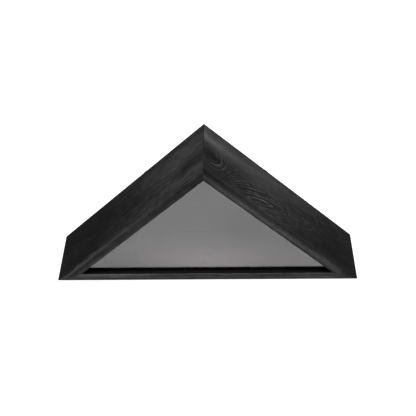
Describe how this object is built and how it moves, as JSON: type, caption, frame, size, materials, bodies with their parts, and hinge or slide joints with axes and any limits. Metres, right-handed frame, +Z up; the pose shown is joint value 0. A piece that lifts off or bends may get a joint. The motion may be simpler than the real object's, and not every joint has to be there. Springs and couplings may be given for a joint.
{
  "type": "flag display case",
  "caption": "Triangular wooden display case for a folded flag, with a clear front pane, a lift-out back held by turn buttons, and wire rings for hanging on a wall.",
  "frame": {"origin": "middle of the base board's underside, on the surface the case stands on", "axes": "+X along the base to the right as seen from the front, +Y from the glazed front to the back, +Z up"},
  "size_m": [0.44, 0.094, 0.22],
  "materials": {
    "stained_wood": "black-stained open-grained wood, low satin lacquer",
    "biscuit_wood": "pressed beech, raw",
    "acrylic": "clear glossy sheet",
    "panel_board": "hardboard painted matt black",
    "lining_felt": "short black felt, glued down",
    "plated_steel": "bright nickel-plated stampings and wire",
    "bumper_rubber": "matt black rubber"
  },
  "bodies": {
    "case": {"left_side_board": "stained_wood", "right_side_board": "stained_wood", "base_board": "stained_wood", "apex_biscuit": "biscuit_wood", "left_corner_biscuit": "biscuit_wood", "right_corner_biscuit": "biscuit_wood", "front_pane": "acrylic", "turn_button_screws": "plated_steel", "left_hanger_strap": "plated_steel", "right_hanger_strap": "plated_steel", "hanger_screws": "plated_steel", "wall_bumpers": "bumper_rubber"},
    "back": {"back_panel": "panel_board", "back_lining": "lining_felt"},
    "turn_button_left_upper": {"turn_button_left_upper": "plated_steel"},
    "turn_button_left_lower": {"turn_button_left_lower": "plated_steel"},
    "turn_button_right_upper": {"turn_button_right_upper": "plated_steel"},
    "turn_button_right_lower": {"turn_button_right_lower": "plated_steel"},
    "turn_button_base_left": {"turn_button_base_left": "plated_steel"},
    "turn_button_base_right": {"turn_button_base_right": "plated_steel"},
    "left_hanger_ring": {"left_hanger_ring": "plated_steel"},
    "right_hanger_ring": {"right_hanger_ring": "plated_steel"}
  },
  "joints": [
    {"name": "left_upper_button_turn", "type": "hinge", "parent": "case", "child": "turn_button_left_upper", "pos_m": [-0.03394, 0.04575, 0.17757], "axis": [0, -1, 0], "range_deg": [0, 180]},
    {"name": "left_lower_button_turn", "type": "hinge", "parent": "case", "child": "turn_button_left_lower", "pos_m": [-0.15636, 0.04575, 0.05515], "axis": [0, -1, 0], "range_deg": [0, 180]},
    {"name": "right_upper_button_turn", "type": "hinge", "parent": "case", "child": "turn_button_right_upper", "pos_m": [0.03394, 0.04575, 0.17757], "axis": [0, 1, 0], "range_deg": [0, 180]},
    {"name": "right_lower_button_turn", "type": "hinge", "parent": "case", "child": "turn_button_right_lower", "pos_m": [0.15636, 0.04575, 0.05515], "axis": [0, 1, 0], "range_deg": [0, 180]},
    {"name": "base_left_button_turn", "type": "hinge", "parent": "case", "child": "turn_button_base_left", "pos_m": [-0.084, 0.04575, 0.0045], "axis": [0, 1, 0], "range_deg": [0, 180]},
    {"name": "base_right_button_turn", "type": "hinge", "parent": "case", "child": "turn_button_base_right", "pos_m": [0.084, 0.04575, 0.0045], "axis": [0, -1, 0], "range_deg": [0, 180]},
    {"name": "back_lift_out", "type": "slide", "parent": "case", "child": "back", "axis": [0, 1, 0], "range_m": [0, 0.1]},
    {"name": "left_ring_swing", "type": "hinge", "parent": "case", "child": "left_hanger_ring", "pos_m": [-0.08061, 0.04666, 0.1309], "axis": [0.7071, 0, -0.7071], "range_deg": [0, 180]},
    {"name": "right_ring_swing", "type": "hinge", "parent": "case", "child": "right_hanger_ring", "pos_m": [0.08061, 0.04666, 0.1309], "axis": [0.7071, 0, 0.7071], "range_deg": [0, 180]}
  ]
}
